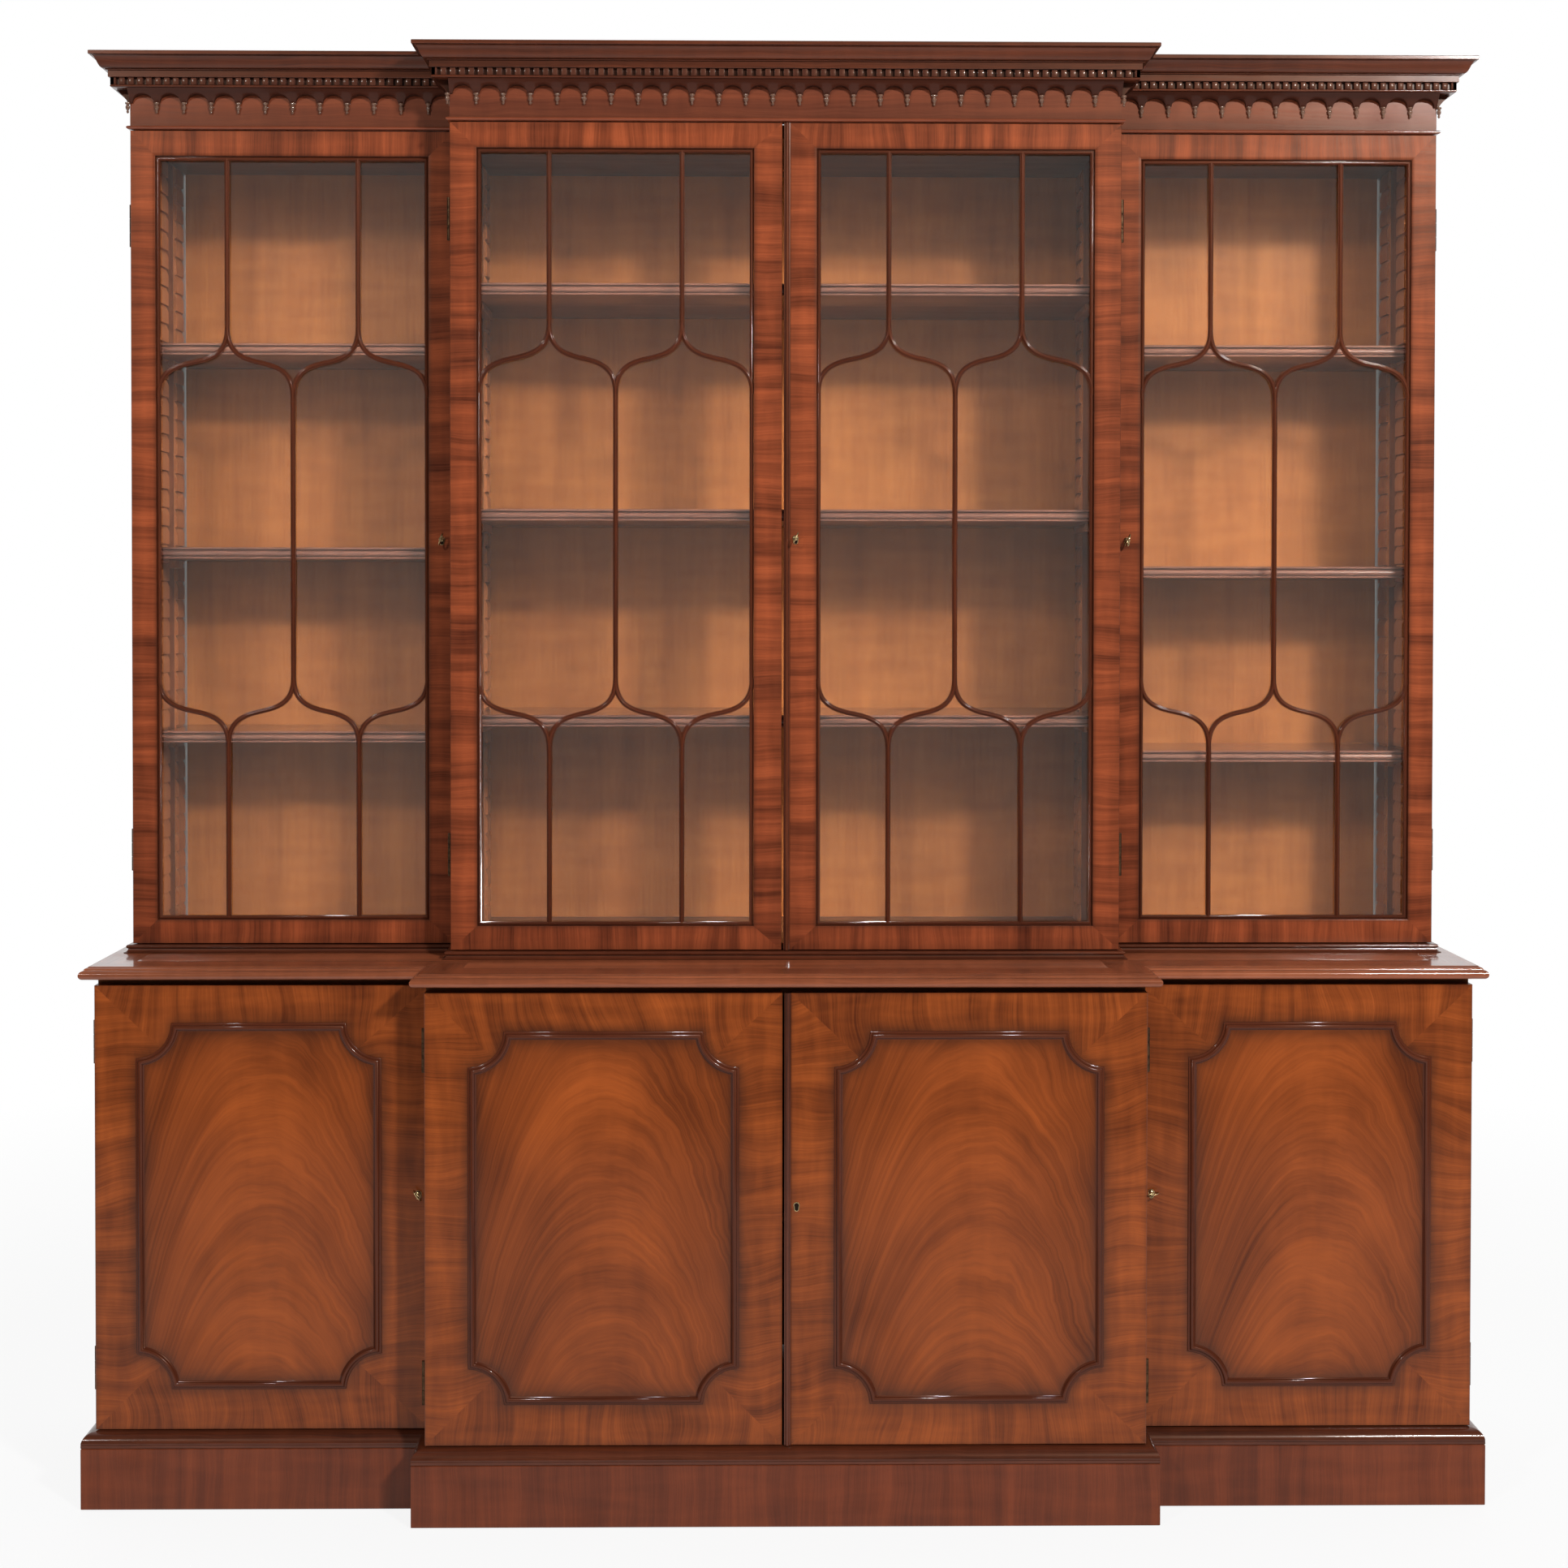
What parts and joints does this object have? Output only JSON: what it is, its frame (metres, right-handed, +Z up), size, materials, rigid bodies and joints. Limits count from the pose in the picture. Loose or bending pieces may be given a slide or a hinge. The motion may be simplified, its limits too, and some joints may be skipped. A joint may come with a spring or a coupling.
{
  "type": "breakfront bookcase",
  "caption": "Breakfront library bookcase: glazed upper doors over panelled cupboards, an arcaded and dentilled cornice, locks with keys, slide bolts and shelves.",
  "frame": {"origin": "middle of the footprint, on the floor", "axes": "+Z up, +Y towards the back, +X to the right as seen from the front"},
  "size_m": [2.069, 0.5188, 2.135],
  "materials": {
    "case_mahogany": "french polished mahogany, red-brown",
    "moulding_mahogany": "french polished mahogany, dark",
    "flame_mahogany": "french polished flame mahogany veneer",
    "inside_mahogany": "satin mahogany, unstained",
    "glass": "clear window glass",
    "brass": "lacquered brass, lightly aged",
    "steel": "plain steel"
  },
  "bodies": {
    "case": {"plinth_frame": "case_mahogany", "lower_bottom_board": "moulding_mahogany", "lower_top_board": "inside_mahogany", "lower_left_side": "case_mahogany", "lower_left_partition": "case_mahogany", "lower_right_partition": "case_mahogany", "lower_right_side": "case_mahogany", "lower_back_panel": "inside_mahogany", "waist_top": "moulding_mahogany", "upper_base_moulding": "moulding_mahogany", "upper_bottom_board": "inside_mahogany", "upper_top_board": "inside_mahogany", "upper_left_side": "case_mahogany", "upper_left_partition": "case_mahogany", "upper_right_partition": "case_mahogany", "upper_right_side": "case_mahogany", "upper_back_panel": "inside_mahogany", "frieze_board": "moulding_mahogany", "cornice_moulding": "moulding_mahogany", "upper_left_bottom_shelf": "moulding_mahogany", "upper_left_middle_shelf": "moulding_mahogany", "upper_left_top_shelf": "moulding_mahogany", "upper_centre_bottom_shelf": "moulding_mahogany", "upper_centre_middle_shelf": "moulding_mahogany", "upper_centre_top_shelf": "moulding_mahogany", "upper_right_bottom_shelf": "moulding_mahogany", "upper_right_middle_shelf": "moulding_mahogany", "upper_right_top_shelf": "moulding_mahogany", "lower_left_shelf": "inside_mahogany", "lower_centre_shelf": "inside_mahogany", "lower_right_shelf": "inside_mahogany"},
    "upper_left_wing_door": {"upper_left_wing_door_frame": "case_mahogany", "upper_left_wing_door_glazing_bars": "moulding_mahogany", "upper_left_wing_door_glass": "glass"},
    "upper_left_centre_door": {"upper_left_centre_door_frame": "case_mahogany", "upper_left_centre_door_glazing_bars": "moulding_mahogany", "upper_left_centre_door_glass": "glass"},
    "upper_right_centre_door": {"upper_right_centre_door_frame": "case_mahogany", "upper_right_centre_door_glazing_bars": "moulding_mahogany", "upper_right_centre_door_glass": "glass"},
    "upper_right_wing_door": {"upper_right_wing_door_frame": "case_mahogany", "upper_right_wing_door_glazing_bars": "moulding_mahogany", "upper_right_wing_door_glass": "glass"},
    "lower_left_wing_door": {"lower_left_wing_door": "flame_mahogany"},
    "lower_left_centre_door": {"lower_left_centre_door": "flame_mahogany"},
    "lower_right_centre_door": {"lower_right_centre_door": "flame_mahogany"},
    "lower_right_wing_door": {"lower_right_wing_door": "flame_mahogany"},
    "upper_left_wing_key": {"upper_left_wing_door_key": "brass"},
    "upper_right_centre_key": {"upper_right_centre_door_key": "brass"},
    "upper_right_wing_key": {"upper_right_wing_door_key": "brass"},
    "lower_left_wing_key": {"lower_left_wing_door_key": "brass"},
    "lower_right_wing_key": {"lower_right_wing_door_key": "brass"},
    "upper_left_wing_bolt": {"upper_left_wing_door_lock_bolt": "steel"},
    "upper_right_centre_bolt": {"upper_right_centre_door_lock_bolt": "steel"},
    "upper_right_wing_bolt": {"upper_right_wing_door_lock_bolt": "steel"},
    "lower_left_wing_bolt": {"lower_left_wing_door_lock_bolt": "steel"},
    "lower_right_centre_bolt": {"lower_right_centre_door_lock_bolt": "steel"},
    "lower_right_wing_bolt": {"lower_right_wing_door_lock_bolt": "steel"},
    "upper_slide_bolt": {"upper_left_centre_door_slide_bolt": "brass"},
    "lower_slide_bolt": {"lower_left_centre_door_slide_bolt": "brass"}
  },
  "joints": [
    {"name": "upper_left_wing_hinge", "type": "hinge", "parent": "case", "child": "upper_left_wing_door", "pos_m": [-0.9879, 0.0033, 1.4], "axis": [0, 0, -1], "range_deg": [0, 170]},
    {"name": "upper_left_centre_hinge", "type": "hinge", "parent": "case", "child": "upper_left_centre_door", "pos_m": [-0.4997, -0.0733, 1.4], "axis": [0, 0, -1], "range_deg": [0, 160]},
    {"name": "upper_right_centre_hinge", "type": "hinge", "parent": "case", "child": "upper_right_centre_door", "pos_m": [0.4997, -0.0733, 1.4], "axis": [0, 0, 1], "range_deg": [0, 160]},
    {"name": "upper_right_wing_hinge", "type": "hinge", "parent": "case", "child": "upper_right_wing_door", "pos_m": [0.9879, 0.0033, 1.4], "axis": [0, 0, 1], "range_deg": [0, 170]},
    {"name": "lower_left_wing_hinge", "type": "hinge", "parent": "case", "child": "lower_left_wing_door", "pos_m": [-1.0079, -0.1436, 0.43], "axis": [0, 0, -1], "range_deg": [0, 170]},
    {"name": "lower_left_centre_hinge", "type": "hinge", "parent": "case", "child": "lower_left_centre_door", "pos_m": [-0.5197, -0.2202, 0.43], "axis": [0, 0, -1], "range_deg": [0, 160]},
    {"name": "lower_right_centre_hinge", "type": "hinge", "parent": "case", "child": "lower_right_centre_door", "pos_m": [0.5197, -0.2202, 0.43], "axis": [0, 0, 1], "range_deg": [0, 160]},
    {"name": "lower_right_wing_hinge", "type": "hinge", "parent": "case", "child": "lower_right_wing_door", "pos_m": [1.0079, -0.1436, 0.43], "axis": [0, 0, 1], "range_deg": [0, 170]},
    {"name": "upper_left_wing_key_turn", "type": "hinge", "parent": "upper_left_wing_door", "child": "upper_left_wing_key", "pos_m": [-0.5179, -0.01705, 1.4125], "axis": [0, -1, 0], "range_deg": [0, 180]},
    {"name": "upper_right_centre_key_turn", "type": "hinge", "parent": "upper_right_centre_door", "child": "upper_right_centre_key", "pos_m": [0.0145, -0.09365, 1.4125], "axis": [0, -1, 0], "range_deg": [0, 180]},
    {"name": "upper_right_wing_key_turn", "type": "hinge", "parent": "upper_right_wing_door", "child": "upper_right_wing_key", "pos_m": [0.5179, -0.01705, 1.4125], "axis": [0, -1, 0], "range_deg": [0, 180]},
    {"name": "lower_left_wing_key_turn", "type": "hinge", "parent": "lower_left_wing_door", "child": "lower_left_wing_key", "pos_m": [-0.5348, -0.16395, 0.456], "axis": [0, -1, 0], "range_deg": [0, 180]},
    {"name": "lower_right_wing_key_turn", "type": "hinge", "parent": "lower_right_wing_door", "child": "lower_right_wing_key", "pos_m": [0.5348, -0.16395, 0.456], "axis": [0, -1, 0], "range_deg": [0, 180]},
    {"name": "upper_left_wing_bolt_slide", "type": "slide", "parent": "upper_left_wing_door", "child": "upper_left_wing_bolt", "axis": [1, 0, 0], "range_m": [0, 0.009]},
    {"name": "upper_right_centre_bolt_slide", "type": "slide", "parent": "upper_right_centre_door", "child": "upper_right_centre_bolt", "axis": [-1, 0, 0], "range_m": [0, 0.009]},
    {"name": "upper_right_wing_bolt_slide", "type": "slide", "parent": "upper_right_wing_door", "child": "upper_right_wing_bolt", "axis": [-1, 0, 0], "range_m": [0, 0.009]},
    {"name": "lower_left_wing_bolt_slide", "type": "slide", "parent": "lower_left_wing_door", "child": "lower_left_wing_bolt", "axis": [1, 0, 0], "range_m": [0, 0.009]},
    {"name": "lower_right_centre_bolt_slide", "type": "slide", "parent": "lower_right_centre_door", "child": "lower_right_centre_bolt", "axis": [-1, 0, 0], "range_m": [0, 0.009]},
    {"name": "lower_right_wing_bolt_slide", "type": "slide", "parent": "lower_right_wing_door", "child": "lower_right_wing_bolt", "axis": [-1, 0, 0], "range_m": [0, 0.009]},
    {"name": "upper_slide_bolt_rise", "type": "slide", "parent": "upper_left_centre_door", "child": "upper_slide_bolt", "axis": [0, 0, 1], "range_m": [0, 0.01]},
    {"name": "lower_slide_bolt_rise", "type": "slide", "parent": "lower_left_centre_door", "child": "lower_slide_bolt", "axis": [0, 0, 1], "range_m": [0, 0.01]}
  ],
  "couplings": [
    {"joint": "upper_left_wing_bolt_slide", "follows": "upper_left_wing_key_turn", "m_per_rad": 0.00286},
    {"joint": "upper_right_centre_bolt_slide", "follows": "upper_right_centre_key_turn", "m_per_rad": 0.00286},
    {"joint": "upper_right_wing_bolt_slide", "follows": "upper_right_wing_key_turn", "m_per_rad": 0.00286},
    {"joint": "lower_left_wing_bolt_slide", "follows": "lower_left_wing_key_turn", "m_per_rad": 0.00286},
    {"joint": "lower_right_wing_bolt_slide", "follows": "lower_right_wing_key_turn", "m_per_rad": 0.00286}
  ]
}
